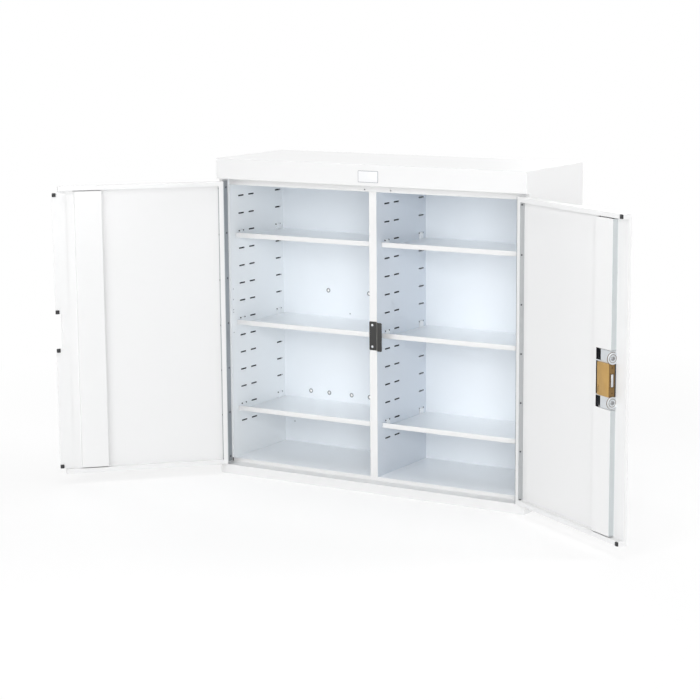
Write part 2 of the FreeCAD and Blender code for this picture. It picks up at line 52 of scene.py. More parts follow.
def doorSwing(side):
    # the pin in mm, and the angle from the closed door to the rest pose
    joint = next(j for j in frame["joints"] if j["name"] == side + "_door_hinge")
    return np.array(joint["pos_m"]) / mm, -math.radians(joint["range_deg"][0]) * joint["axis"][2]


# Camera

cameraLook = {
    "place": (2.70845, -4.60623, 1.29969),
    "right": (0.85067, 0.52565, -0.00753),
    "up": (-0.08494, 0.15158, 0.98479),
    "ahead": (-0.5188, 0.83709, -0.17359),
    "lens": 104.5,
    "sensor": 36.0,
    "clip": (0.05, 60.0),
}


def makeCamera(look):
    data = bpy.data.cameras.new("camera")
    data.lens = look["lens"]
    data.sensor_width = look["sensor"]
    data.clip_start, data.clip_end = look["clip"]
    camera = bpy.data.objects.new("camera", data)
    turn = Matrix((look["right"], look["up"], [-a for a in look["ahead"]])).transposed()
    camera.matrix_world = Matrix.Translation(look["place"]) @ turn.to_4x4()
    bpy.context.collection.objects.link(camera)
    bpy.context.scene.camera = camera


makeCamera(cameraLook)
bpy.context.scene.view_settings.view_transform = "Standard"
print("camera placed")


# Shader maths: a Signal is one output socket, and sums and products of Signals become Math nodes

class Signal:
    def __init__(self, tree, socket=None):
        self.tree = tree
        self.socket = socket

    def node(self, kind, settings, inputs, output=0):
        made = self.tree.nodes.new(kind)
        for key, value in settings.items():
            setattr(made, key, value)
        for key, value in inputs.items():
            if isinstance(value, Signal):
                self.tree.links.new(value.socket, made.inputs[key])
            else:
                made.inputs[key].default_value = value
        return Signal(self.tree, made.outputs[output] if made.outputs else None)

    def maths(self, operation, first, second):
        return self.node("ShaderNodeMath", {"operation": operation}, {0: first, 1: second})

    def __add__(self, other):
        return self.maths("ADD", self, other)

    def __radd__(self, other):
        return self.maths("ADD", other, self)

    def __sub__(self, other):
        return self.maths("SUBTRACT", self, other)

    def __rsub__(self, other):
        return self.maths("SUBTRACT", other, self)

    def __mul__(self, other):
        return self.maths("MULTIPLY", self, other)

    def __rmul__(self, other):
        return self.maths("MULTIPLY", other, self)

    def over(self, edge):
        return self.maths("GREATER_THAN", self, edge)

    def under(self, edge):
        return self.maths("LESS_THAN", self, edge)

    def blend(self, first, second):
        # colour mix by this signal: first at 0, second at 1; a plain colour has three numbers
        ends = [end if isinstance(end, Signal) else (*end, 1) for end in (first, second)]
        return self.node("ShaderNodeMix", {"data_type": "RGBA"}, {0: self, 6: ends[0], 7: ends[1]}, 2)

    def size(self):
        return self.maths("ABSOLUTE", self, 0)

    def between(self, low, high):
        return self.over(low) * self.under(high)


def newFinish(name):
    material = bpy.data.materials.new(name)
    material.use_nodes = True
    tree = material.node_tree
    tree.nodes.clear()
    start = Signal(tree)
    return material, start, start.node("ShaderNodeTexCoord", {}, {}, "Object")


def closeFinish(start, inputs, bump):
    # one Principled shader for the whole finish; a bump is (height signal, strength, distance in metres)
    height, strength, distance = bump
    relief = {"Height": height, "Strength": strength, "Distance": distance}
    inputs["Normal"] = start.node("ShaderNodeBump", {}, relief)
    shader = start.node("ShaderNodeBsdfPrincipled", {}, inputs)
    start.node("ShaderNodeOutputMaterial", {}, {"Surface": shader})


def noise(start, place, scale, detail=2.0, rough=0.5):
    settings = {"Vector": place, "Scale": scale, "Detail": detail, "Roughness": rough}
    return start.node("ShaderNodeTexNoise", {}, settings)


def axisOf(start, place, axis):
    # one coordinate of the place, in metres
    return start.node("ShaderNodeSeparateXYZ", {}, {0: place}, axis)


def stretched(start, place, scale):
    # the same coordinates drawn out along one axis, for grain and brush lines
    return start.node("ShaderNodeMapping", {}, {"Vector": place, "Scale": scale})


# Powder coat: white base that drifts by a hundredth, fine orange peel, roughness that drifts with it.
# Places in metres, in the cabinet's frame or, for the right door, along it from the hinge edge and in from its face
powderCoat = {
    # door and body are the outside white; clip, inside, liner, shelf and floor are lighter, bluish copies of the same
    # white paint: painted light and bluish shade for the interior
    "door": {"base": (0.806, 0.807, 0.807), "drift": (0.793, 0.795, 0.797), "rough": 0.34, "coat": 0.0},
    "clip": {"base": (0.930, 0.955, 0.980), "drift": (0.920, 0.947, 0.974), "rough": 0.35, "coat": 0.0},
    "body": {"base": (0.796, 0.797, 0.797), "drift": (0.784, 0.786, 0.788), "rough": 0.34, "coat": 0.0},
    "inside": {"base": (0.905, 0.945, 0.984), "drift": (0.895, 0.938, 0.981), "rough": 0.34, "coat": 0.0},
    "liner": {"base": (0.935, 0.965, 0.988), "drift": (0.926, 0.960, 0.986), "rough": 0.34, "coat": 0.0},
    # divider: a darker, bluer copy of the same white paint, painted shade on its faces
    "divider": {"base": (0.750, 0.800, 0.865), "drift": (0.738, 0.790, 0.858), "rough": 0.35, "coat": 0.0},
    "shelf": {"base": (0.930, 0.962, 0.988), "drift": (0.920, 0.956, 0.985), "rough": 0.34, "coat": 1.0},
    "floor": {"base": (0.940, 0.966, 0.990), "drift": (0.930, 0.960, 0.988), "rough": 0.34, "coat": 1.0},
    # painted shade: near black for the insides of hollows, inside the channel and behind the lock's opening, and grey
    # for the channel's web
    "paintedShade": (0.020, 0.022, 0.028), "webShade": (0.530, 0.565, 0.575), "ior": 1.5, "coatRough": 0.3,
    "driftScale": 3.0, "driftDetail": 3.0, "driftRough": 0.06,
    "speck": (60.0, 4.0, 0.7), "speckRough": 0.05,     # scale, detail and roughness of its noise
    "peel": (420.0, 1.5), "peelStrength": 0.02, "peelHeight": 0.0003,
    # hollow sections, painted shade inside: from and to off the middle plane, front and back
    "hollow": {
        "liner": (0.4511, 0.47, -0.1189, 0.15),
        "divider": (-1.0, 0.01115, -0.1190, 0.15),
        "side": (0.44, 0.4644, -0.1189, 0.1385),
    },
    "dividerFront": -0.1194, "shelfFront": -0.0962, "floorFront": -0.1195,
    # where shade is painted on the right door, in metres along it from the hinge edge and into it: inside the channel,
    # on its web from webEdge on, and behind the lock's opening
    "channelHollow": (0.3452, 0.4158), "channelDepth": 0.0222, "webEdge": 0.4162,
    "recess": {"along": (0.346, 0.415), "into": 0.0005, "height": (0.3435, 0.4825)},
}


def hollowShadePatch(section):
    # painted shade, near black, on the inner side of a folded hollow section, from the distance off the middle plane
    # and the depth
    def patches(start, place):
        low, high, front, back = powderCoat["hollow"][section]
        inside = axisOf(start, place, "X").size().between(low, high) * axisOf(start, place, "Y").between(front, back)
        return [(inside, powderCoat["paintedShade"])]
    return patches


def dividerPatches(start, place):
    # painted shade inside the divider's hollow, and its front strip has the outer coat
    front = axisOf(start, place, "Y").under(powderCoat["dividerFront"])
    return hollowShadePatch("divider")(start, place) + [(front, powderCoat["body"]["base"])]


def rightDoorPlace(start, place):
    # the right door's own coordinates in metres, along it from the hinge edge and in from its outer face:
    # the place turned back about the pin, as two dot products
    pin, angle = doorSwing("right")
    cosine, sine = math.cos(angle), math.sin(angle)
    pinX, pinY = pin[0] * mm, pin[1] * mm
    dots = [
        start.node("ShaderNodeVectorMath", {"operation": "DOT_PRODUCT"}, {0: place, 1: axis}, "Value")
        for axis in ((-cosine, -sine, 0), (-sine, cosine, 0))
    ]
    along = dots[0] + (doorPlane["hingeEdge"] * mm - pinX + pinX * cosine + pinY * sine)
    into = dots[1] + (pinY - doorPlane["outerFace"] * mm + pinX * sine - pinY * cosine)
    return along, into


def channelShadePatches(start, place):
    # painted shade inside the channel, and grey painted shade on its web, on the side of the door's free edge
    along, into = rightDoorPlace(start, place)
    inside = along.between(*powderCoat["channelHollow"]) * into.under(powderCoat["channelDepth"])
    return [(inside, powderCoat["paintedShade"]), (along.over(powderCoat["webEdge"]), powderCoat["webShade"])]


def recessShadePatches(start, place):
    # painted shade on the door box behind the lock's opening
    look = powderCoat["recess"]
    along, into = rightDoorPlace(start, place)
    level = axisOf(start, place, "Z").between(*look["height"])
    inside = along.between(*look["along"]) * into.over(look["into"]) * level
    return [(inside, powderCoat["paintedShade"])]


def patched(colour, patches, start, place):
    # each patch is (mask, colour), laid over what is there
    if patches:
        for mask, patch in patches(start, place):
            colour = mask.blend(colour, patch)
    return colour


def coatNoise(start, place):
    # the slow drift of the coat, and its bump: peel, strength and height
    drift = noise(start, place, powderCoat["driftScale"], powderCoat["driftDetail"])
    peel = noise(start, place, *powderCoat["peel"])
    return drift, (peel, powderCoat["peelStrength"], powderCoat["peelHeight"])


def makePowderCoat(name, look, patches=None):
    material, start, place = newFinish(name)
    drift, bump = coatNoise(start, place)
    speck = noise(start, place, *powderCoat["speck"])
    colour = patched(drift.blend(look["base"], look["drift"]), patches, start, place)
    uneven = powderCoat["driftRough"] * (drift - 0.5) + powderCoat["speckRough"] * (speck - 0.5)
    closeFinish(start, {
        "Base Color": colour, "Roughness": look["rough"] + uneven, "IOR": powderCoat["ior"],
        "Coat Weight": look["coat"], "Coat Roughness": powderCoat["coatRough"],
    }, bump)
    return material


def makeSplitCoat(name, outer, inner, edgeY):
    # outer coat in front of edgeY (metres), inner coat behind it: one folded sheet that is both rail and floor, in one
    # paint; the inner coat is the lighter, bluish copy that paints the interior's light and shade
    material, start, place = newFinish(name)
    drift, bump = coatNoise(start, place)
    inside = axisOf(start, place, "Y").over(edgeY)
    front = drift.blend(outer["base"], outer["drift"])
    behind = drift.blend(inner["base"], inner["drift"])
    rough = outer["rough"] + (inner["rough"] - outer["rough"]) * inside
    closeFinish(start, {
        "Base Color": inside.blend(front, behind), "IOR": powderCoat["ior"],
        "Roughness": rough + powderCoat["driftRough"] * (drift - 0.5),
        "Coat Weight": outer["coat"] + (inner["coat"] - outer["coat"]) * inside,
        "Coat Roughness": powderCoat["coatRough"],
    }, bump)
    return material


# Metals: grain is the scale of the brush lines upwards, and the smaller it is, the longer the lines
metalLook = {
    "hinge": {"base": (0.42, 0.44, 0.46), "drift": (0.36, 0.38, 0.40), "rough": 0.42, "metallic": 0.75, "grain": 0.05},
    "rivet": {"base": (0.16, 0.165, 0.175), "drift": (0.11, 0.115, 0.12), "rough": 0.45, "metallic": 0.6, "grain": 1.0},
    "zinc": {"base": (0.74, 0.76, 0.78), "drift": (0.62, 0.65, 0.68), "rough": 0.33, "metallic": 0.7, "grain": 0.3},
    "brass": {
        "base": (0.63, 0.40, 0.145), "drift": (0.51, 0.31, 0.105), "rough": 0.36, "metallic": 0.85, "grain": 0.04,
    },
    "strike": {
        "base": (0.036, 0.036, 0.035), "drift": (0.026, 0.026, 0.026), "rough": 0.38, "metallic": 0.15, "grain": 0.2,
    },
    "strip": {
        "base": (0.46, 0.475, 0.485), "drift": (0.40, 0.415, 0.425), "rough": 0.45, "metallic": 0.2, "grain": 0.05,
    },
    "tail": {"base": (0.07, 0.07, 0.075), "drift": (0.045, 0.045, 0.05), "rough": 0.5, "metallic": 0.3, "grain": 1.0},
    "screw": {"base": (0.40, 0.405, 0.41), "drift": (0.30, 0.305, 0.31), "rough": 0.4, "metallic": 0.6, "grain": 1.0},
    # the lock pins' dark colour, also used for dark pieces of painted shade on the lock
    "pin": {"base": (0.16, 0.09, 0.03), "drift": (0.10, 0.055, 0.02), "rough": 0.5, "metallic": 0.4, "grain": 1.0},
    # painted shade for the bracket's foot and the lock's front, and a painted highlight for the strike's bend
    "zincShade": (0.035, 0.036, 0.040), "brassFrontShade": (0.25, 0.155, 0.062), "strikeBendHighlight": (0.150, 0.148, 0.136),
    "lines": (260.0, 3.0, 0.6), "cloud": (38.0, 4.0, 0.6),     # scale, detail and roughness of each noise
    "linesShare": 0.35, "linesRough": 0.14, "cloudRough": 0.10, "bump": 0.08, "bumpHeight": 0.0003,
    # edges of the patches in metres, on the right door and across the strike
    "shadeAlong": 0.4130, "shadeInto": 0.0205, "frontAlong": 0.4162, "bendAcross": (0.0102, 0.0203),
}


def bracketShadePatches(start, place):
    # painted shade on the foot of the bracket, deep behind its flanges
    along, into = rightDoorPlace(start, place)
    return [(along.under(metalLook["shadeAlong"]) * into.under(metalLook["shadeInto"]), metalLook["zincShade"])]


def brassShadePatches(start, place):
    # painted shade: the lock's front is darker than its cover
    along = rightDoorPlace(start, place)[0]
    return [(along.over(metalLook["frontAlong"]), metalLook["brassFrontShade"])]


def strikeHighlightPatches(start, place):
    # painted highlight on the sloped run between plate and wing
    return [(axisOf(start, place, "X").between(*metalLook["bendAcross"]), metalLook["strikeBendHighlight"])]


def makeMetal(name, look, patches=None):
    # rolled or plated metal: upright brush lines, cloudy tarnish, roughness from both
    material, start, place = newFinish(name)
    lines = noise(start, stretched(start, place, (1.0, 1.0, look["grain"])), *metalLook["lines"])
    cloud = noise(start, place, *metalLook["cloud"])
    share = metalLook["linesShare"]
    tarnish = (1 - share) * cloud + share * lines
    colour = patched(tarnish.blend(look["base"], look["drift"]), patches, start, place)
    uneven = metalLook["linesRough"] * (lines - 0.5) + metalLook["cloudRough"] * (cloud - 0.5)
    closeFinish(
        start, {"Base Color": colour, "Roughness": look["rough"] + uneven, "Metallic": look["metallic"]},
        (lines, metalLook["bump"], metalLook["bumpHeight"]),
    )
    return material


# Moulded rubber and plastic: matt grain, slight dust in the drift
mouldedLook = {
    "rubber": {"base": (0.018, 0.018, 0.02), "drift": (0.03, 0.03, 0.032), "rough": 0.7, "grain": 900.0, "bump": 0.2},
    "grey": {"base": (0.36, 0.385, 0.395), "drift": (0.30, 0.325, 0.335), "rough": 0.45, "grain": 1200.0, "bump": 0.2},
    "label": {"base": (0.825, 0.83, 0.84), "drift": (0.81, 0.815, 0.83), "rough": 0.3, "grain": 1500.0, "bump": 0.15},
    "cloud": (25.0, 3.0), "grainRough": 0.1, "bumpHeight": 0.0002,
}


def makeMoulded(name, look, patches=None):
    material, start, place = newFinish(name)
    grain = noise(start, place, look["grain"])
    cloud = noise(start, place, *mouldedLook["cloud"])
    colour = patched(cloud.blend(look["base"], look["drift"]), patches, start, place)
    rough = look["rough"] + mouldedLook["grainRough"] * (grain - 0.5)
    closeFinish(start, {"Base Color": colour, "Roughness": rough}, (grain, look["bump"], mouldedLook["bumpHeight"]))
    return material


# Bare label plate: white face with a thin grey printed border
labelLook = {
    "plate": (60.0, 30.0, 0.8), "corner": 1.4, "edge": 0.3, "middle": (11.0, -160.0, 833.0),
    "border": 1.2, "grey": (0.30, 0.30, 0.34),
}


def labelPatches(start, place):
    # the border is where the distance off the middle, across or up, comes within its width of the plate's edge
    wide, tall = labelLook["plate"][:2]
    x = axisOf(start, place, "X") - labelLook["middle"][0] * mm
    z = axisOf(start, place, "Z") - labelLook["middle"][2] * mm
    sideways = x.size().over((wide / 2 - labelLook["border"]) * mm)
    upright = z.size().over((tall / 2 - labelLook["border"]) * mm)
    return [(start.maths("MAXIMUM", sideways, upright), labelLook["grey"])]


doorCoat = makePowderCoat("door_powder_coat", powderCoat["door"])
bodyCoat = makePowderCoat("body_powder_coat", powderCoat["body"])
insideCoat = makePowderCoat("inside_powder_coat", powderCoat["inside"])
linerCoat = makePowderCoat("liner_powder_coat", powderCoat["liner"], hollowShadePatch("liner"))
sideCoat = makePowderCoat("side_powder_coat", powderCoat["body"], hollowShadePatch("side"))
dividerShadeCoat = makePowderCoat("divider_painted_shade_coat", powderCoat["divider"], dividerPatches)
channelCoat = makePowderCoat("channel_powder_coat", powderCoat["door"], channelShadePatches)
recessCoat = makePowderCoat("recess_powder_coat", powderCoat["door"], recessShadePatches)
clipCoat = makePowderCoat("clip_powder_coat", powderCoat["clip"])
shelfCoat = makeSplitCoat("shelf_powder_coat", powderCoat["body"], powderCoat["shelf"], powderCoat["shelfFront"])
floorCoat = makeSplitCoat("floor_powder_coat", powderCoat["body"], powderCoat["floor"], powderCoat["floorFront"])
hingeSteel = makeMetal("hinge_steel", metalLook["hinge"])
rivetSteel = makeMetal("rivet_steel", metalLook["rivet"])
zincSteel = makeMetal("zinc_plate", metalLook["zinc"])
bracketZinc = makeMetal("bracket_zinc", metalLook["zinc"], bracketShadePatches)
lockBrass = makeMetal("lock_brass", metalLook["brass"], brassShadePatches)
stripSteel = makeMetal("hinge_strip_steel", metalLook["strip"])
tailSteel = makeMetal("rivet_tail_steel", metalLook["tail"])
screwSteel = makeMetal("lock_screw_steel", metalLook["screw"])
lockPinsAndShade = makeMetal("lock_pins_and_painted_shade", metalLook["pin"])
strikePaint = makeMetal("strike_paint", metalLook["strike"], strikeHighlightPatches)
blackRubber = makeMoulded("black_rubber", mouldedLook["rubber"])
greyPlastic = makeMoulded("grey_plastic", mouldedLook["grey"])
labelPlastic = makeMoulded("label_plastic", mouldedLook["label"], labelPatches)
print("finishes made")


# Which finish each kept solid takes

coatOf = {
    "top_tray": bodyCoat, "head_stop": bodyCoat, "bottom_panel": bodyCoat, "floor_tray": floorCoat,
    "ceiling_panel": insideCoat, "back_panel": insideCoat, "divider": dividerShadeCoat,
    "wall_grommets": greyPlastic, "label_plate": labelPlastic,
    "strike_plate": strikePaint, "strike_rivets": zincSteel,
    "left_side": sideCoat, "right_side": sideCoat, "left_liner": linerCoat, "right_liner": linerCoat,
    "lock_bracket": bracketZinc, "lock_case": lockBrass, "lock_cap": lockBrass, "lock_bolt": zincSteel,
    "lock_post": zincSteel, "lock_levers": lockBrass, "lock_screws": zincSteel, "keyhole_escutcheon": lockBrass,
}
for side in ("left", "right"):
    for level in ("upper", "middle", "lower"):
        coatOf[f"{side}_{level}_shelf"] = shelfCoat
    coatOf[side + "_shelf_clips"] = clipCoat
    for leaf in ("frame", "door"):
        coatOf[f"{side}_hinge_{leaf}_leaf"] = hingeSteel
        coatOf[f"{side}_hinge_{leaf}_rivets"] = rivetSteel
    coatOf[side + "_hinge_pin"] = hingeSteel
    for sheet in ("skin", "pan", "channel"):
        coatOf[f"{side}_door_{sheet}"] = doorCoat
    coatOf[side + "_door_buffers"] = blackRubber
coatOf["left_door_upper_lap"] = coatOf["left_door_lower_lap"] = doorCoat
coatOf["right_door_channel"] = channelCoat
coatOf["right_door_pan"] = coatOf["right_door_skin"] = recessCoat


def dressNode(name, material):
    mesh = frame["nodes"][name].data
    mesh.materials.clear()
    mesh.materials.append(material)


for nodeName in frame["nodes"]:
    dressNode(nodeName, coatOf[nodeName])
print("solids dressed")


# Surfaces: a shell is (points in mm, blocks of faces), and a piece is one or more shells

def gridFaces(rows, cols):
    # one quad for each cell of a grid of rows rings, every ring closed round through cols points
    ring = np.arange(rows - 1)[:, None] * cols
    here = np.arange(cols)[None, :]
    following = (here + 1) % cols
    cell = np.broadcast_arrays(ring + here, ring + following, ring + cols + following, ring + cols + here)
    return np.stack(cell, -1).reshape(-1, 4)


def closedRings(rings):
    # quads between neighbouring rings and one flat face over each end ring
    rows, cols = rings.shape[:2]
    ends = np.stack([np.arange(cols)[::-1], (rows - 1) * cols + np.arange(cols)])
    return rings.reshape(-1, 3), [gridFaces(rows, cols), ends]


def unit(vectors):
    return vectors / np.linalg.norm(vectors, axis=-1, keepdims=True)


def roundedRect(width, height, corner, inset, steps=5):
    # rings of a rounded rectangle: corner centre plus (corner - inset) times the direction of its quarter turn;
    # width, height and inset are columns with one value for each ring
    angle = (np.arange(4)[:, None] * np.pi / 2 + np.linspace(0, np.pi / 2, steps)).ravel()
    way = np.stack([np.cos(angle), np.sin(angle)], -1)
    sign = np.repeat(np.array([[1, 1], [-1, 1], [-1, -1], [1, -1]]), steps, axis=0)
    size = np.stack(np.broadcast_arrays(width, height), -1)
    centre = sign * (size[:, None, :] / 2 - corner)
    return centre + (corner - np.asarray(inset)[:, None, None]) * way


def roundedBlock(width, height, depth, corner, edge, steps=5):
    # rings rise straight from the base outline, then turn in over the top edge by a quarter circle
    turn = np.linspace(0, np.pi / 2, steps)
    inset = np.concatenate([[0.0], edge * (1 - np.cos(turn))])
    rise = np.concatenate([[0.0], depth - edge + edge * np.sin(turn)])
    flat = roundedRect(np.full(steps + 1, width), np.full(steps + 1, height), corner, inset)
    up = np.repeat(rise, flat.shape[1]).reshape(*flat.shape[:2], 1)
    return closedRings(np.concatenate([flat, up], -1))


def turned(profile, steps=28):
    # a profile of (radius, height) turned about its axis; points of no radius meet in a pole
    angle = np.arange(steps) * 2 * np.pi / steps
    radius, height = np.array(profile, float).T[:, :, None]
    rings = np.stack(np.broadcast_arrays(radius * np.cos(angle), radius * np.sin(angle), height), -1)
    return rings.reshape(-1, 3), [gridFaces(len(rings), steps)]


def domed(radius, height, steps=24, rimShare=0.25):
    # a rivet head: flat seat, a short straight rim, then an ellipse up to the pole
    turn = np.linspace(0, np.pi / 2, 7)
    rim = rimShare * height
    curve = np.stack([radius * np.cos(turn), rim + (height - rim) * np.sin(turn)], -1)
    curve[-1, 0] = 0
    return turned(np.concatenate([[[0, 0], [radius, 0]], curve]), steps)


def filleted(corners, radius, tips=(), steps=6):
    # straight runs joined by arcs: each inner corner gives way to points of a circle that touches both runs;
    # tips are distances from either end at which the end runs get points of their own
    corners = np.array(corners, float)
    tips = np.array(tips, float)[:, None]
    line = [corners[:1], corners[0] + tips * unit(corners[1] - corners[0])]
    for before, corner, after in zip(corners, corners[1:], corners[2:]):
        back, ahead = unit(before - corner), unit(after - corner)
        half = math.acos(float(back @ ahead)) / 2
        centre = corner + unit(back + ahead) * radius / math.sin(half)
        reach = radius / math.tan(half)     # from the corner to where the arc touches a run
        first, last = corner + back * reach - centre, corner + ahead * reach - centre
        sweep = math.pi - 2 * half
        share = np.linspace(0, 1, steps)[:, None]
        arc = np.sin((1 - share) * sweep) * first + np.sin(share * sweep) * last
        line.append(centre + arc / math.sin(sweep))
    line += [(corners[-1] + tips * unit(corners[-2] - corners[-1]))[::-1], corners[-1:]]
    return np.concatenate(line)


def bentStrip(line, widths, thickness, edge):
    # a rounded rectangle carried along a flat bent line: thickness across the line, its own width at each station;
    # the mitre keeps the thickness where the line turns
    run = unit(np.diff(line, axis=0))
    way = unit(np.concatenate([run[:1], run[:-1] + run[1:], run[-1:]]))
    across = np.stack([-way[:, 1], way[:, 0]], -1)
    square = np.concatenate([across[:1], np.stack([-run[:, 1], run[:, 0]], -1)])
    mitre = 1 / np.sum(across * square, -1)
    flat = roundedRect(np.full(len(line), thickness), widths, edge, np.zeros(len(line)))
    offset = across[:, None, :] * flat[..., :1] * mitre[:, None, None]
    return closedRings(np.concatenate([line[:, None, :] + offset, flat[..., 1:]], -1))


def endRounded(line, width, radius):
    # the width at each station, drawn in over the last radius of either end as a quarter circle
    length = np.concatenate([[0], np.cumsum(np.linalg.norm(np.diff(line, axis=0), axis=-1))])
    near = np.clip(np.minimum(length, length[-1] - length), 0, radius)
    return width - 2 * (radius - np.sqrt(radius ** 2 - (radius - near) ** 2))


def placed(shell, centre, axes):
    # the shell's own three axes laid along the rows of axes, from centre
    points, faces = shell
    return points @ np.array(axes, float) + np.array(centre, float), faces


def onDoor(side, shell):
    # door places (from the hinge edge, from the outer face inwards, height) swung open to the rest pose:
    # the closed place is turned about the pin by the angle between the joint's closed end and its rest
    points, faces = shell
    hand = 1 if side == "right" else -1
    pin, angle = doorSwing(side)
    x = hand * (doorPlane["hingeEdge"] - points[:, 0]) - pin[0]
    y = doorPlane["outerFace"] + points[:, 1] - pin[1]
    turnedX = pin[0] + x * math.cos(angle) - y * math.sin(angle)
    turnedY = pin[1] + x * math.sin(angle) + y * math.cos(angle)
    return np.stack([turnedX, turnedY, points[:, 2]], -1), faces


meshLook = {"sharp": 35.0, "merge": 2e-6, "flat": 1e-6}     # crease angle in degrees, lengths in metres


def putPiece(name, shells, material, body, slotName, *nodes):
    # the shells become one mesh, its doubles merged and its faces turned outwards, and the piece rides on its body
    points, faces, first = [], [], 0
    for shellPoints, blocks in shells:
        for block in blocks:
            faces += (block + first).tolist()
        points.append(shellPoints)
        first += len(shellPoints)
    mesh = bpy.data.meshes.new(name)
    mesh.from_pydata((np.concatenate(points) * mm).tolist(), [], faces)
    work = bmesh.new()
    work.from_mesh(mesh)
    bmesh.ops.remove_doubles(work, verts=work.verts, dist=meshLook["merge"])
    bmesh.ops.dissolve_degenerate(work, edges=work.edges, dist=meshLook["flat"])
    bmesh.ops.recalc_face_normals(work, faces=work.faces)
    work.to_mesh(mesh)
    work.free()
    mesh.polygons.foreach_set("use_smooth", np.ones(len(mesh.polygons), bool))
    mesh.set_sharp_from_angle(angle=math.radians(meshLook["sharp"]))
    mesh.materials.append(material)
    piece = bpy.data.objects.new(name, mesh)
    bpy.context.collection.objects.link(piece)
    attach(piece, body)
    if nodes:
        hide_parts(*nodes)


sides = {"left": -1, "right": 1}
# a shell's own axes laid in the cabinet or on a door: the third one is the way it faces
faceRight = [(0, 1, 0), (0, 0, 1), (1, 0, 0)]       # on a door, to its free edge
faceBack = [(1, 0, 0), (0, 0, 1), (0, 1, 0)]        # on a door, inwards from its outer face
faceFront = [(1, 0, 0), (0, 0, 1), (0, -1, 0)]      # on a door, outwards

# Shelves: one sheet folded up at the front, with its top edge hemmed back inside
shelfLook = {
    "levels": {"upper": 645.5, "middle": 405.5, "lower": 165.5}, "inner": 12.75, "outer": 449.5,
    "front": -97.0, "back": 136.0, "sheet": 1.2, "lip": 12.0, "hem": 5.5, "hemGap": 0.05, "bend": 0.8, "edge": 0.35,
    "tips": (0.2, 0.6),
}


def shelfShell(look, surface, low, high):
    # the section runs down the hem, over the lip's top, down the lip and back along the shelf
    half = look["sheet"] / 2
    lipY, top = look["front"] + half, surface + look["lip"] - half
    hemY = lipY + 2 * look["bend"] + look["hemGap"]
    corners = [
        (hemY, top - look["hem"]), (hemY, top), (lipY, top), (lipY, surface - half), (look["back"], surface - half),
    ]
    line = filleted(corners, look["bend"], look["tips"])
    points, faces = bentStrip(line, np.full(len(line), high - low), look["sheet"], look["edge"])
    return np.stack([points[:, 2] + (low + high) / 2, points[:, 0], points[:, 1]], -1), faces


for side, hand in sides.items():
    low, high = sorted((hand * shelfLook["inner"], hand * shelfLook["outer"]))
    for level, surface in shelfLook["levels"].items():
        node = f"{side}_{level}_shelf"
        sheet = shelfShell(shelfLook, surface, low, high)
        putPiece(node + "_sheet", [sheet], shelfCoat, "carcass", "shelf_paint", node)
print("shelves made")

# Shelf clips: one strip hooked behind the wall, out through its slot, down beside the shelf and under it
clipLook = {
    "columns": (-66.6, 112.9), "slotOver": 15.0, "walls": (451.0, 11.25), "sheet": 1.0, "edge": 0.3,
    "width": 22.0, "neck": 14.0, "neckDrop": 2.5, "slotRise": 1.0, "hookBehind": 1.9, "hookRise": 8.0,
    "foot": 12.0, "under": 1.7, "bend": 0.6, "tips": (0.3, 1.0, 2.0), "tipRound": 3.0,
    "shoulder": (0.8, 0.05, -0.5, -1.2), "shoulderEase": 1.6,     # stations off the shoulder, and its cut corners
    "flange": (5.0, 10.7, 1.0), "flangeRise": 5.65, "flangeCorner": 1.2, "flangeEdge": 0.25,
}


def clipShells(look, wallX, inward, y, surface):
    # the section runs down the hook, out through the slot, down the plate and in under the shelf
    level = surface + look["slotOver"]
    half = look["sheet"] / 2
    neckZ, footZ = level + look["slotRise"], surface - look["under"]
    corners = [
        (-look["hookBehind"], level + look["hookRise"]), (-look["hookBehind"], neckZ), (half, neckZ), (half, footZ),
        (look["foot"], footZ),
    ]
    line = filleted(corners, look["bend"], look["tips"])
    # stations on the long upright run, where the neck widens to the plate
    turn = int(np.argmax((np.abs(line[:, 0] - half) < 1e-6) & (line[:, 1] < level)))
    down = level - look["neckDrop"] + np.array(look["shoulder"])
    line = np.concatenate([line[:turn], np.stack([np.full(len(down), half), down], -1), line[turn:]])
    widths = np.where(np.arange(len(line)) < turn + 2, look["neck"], look["width"]) * 1.0
    widths[turn + 2] -= look["shoulderEase"]
    points, faces = bentStrip(line, endRounded(line, widths, look["tipRound"]), look["sheet"], look["edge"])
    strip = np.stack([wallX + inward * points[:, 0], y + points[:, 2], points[:, 1]], -1), faces
    wide, tall, thick = look["flange"]
    middle = (wallX + inward * wide / 2, y - look["width"] / 2, surface + look["flangeRise"])
    block = roundedBlock(wide, tall, thick, look["flangeCorner"], look["flangeEdge"])
    return [strip, placed(block, middle, faceBack)]


for side, hand in sides.items():
    shells = []
    for surface in shelfLook["levels"].values():
        for y in clipLook["columns"]:
            shells += clipShells(clipLook, hand * clipLook["walls"][0], -hand, y, surface)
            shells += clipShells(clipLook, hand * clipLook["walls"][1], hand, y, surface)
    putPiece(side + "_clip_set", shells, clipCoat, "carcass", "white_paint", side + "_shelf_clips")
print("clips made")

# Hinges: domed rivet heads on both leaves, and the steel strip in each door that the rivets clench on
hingeLook = {
    "levels": np.linspace(41.0, 783.5, 7), "head": (3.0, 0.9), "frameSeat": 455.0, "frameY": -130.4,
    "doorSeat": -1.0, "doorV": 16.6, "tail": (2.3, 0.9), "tailSeat": 12.8,
    "strip": (12.4, 749.0, 0.8), "stripCorner": 0.6, "stripEdge": 0.3, "stripPlace": (12.0, 15.6, 415.0),
}


def rivetRow(size, u, v, out):
    # one dome at every level, its axis along the first coordinate
    return [placed(domed(*size), (u, v, z), [(0, 1, 0), (0, 0, 1), (out, 0, 0)]) for z in hingeLook["levels"]]


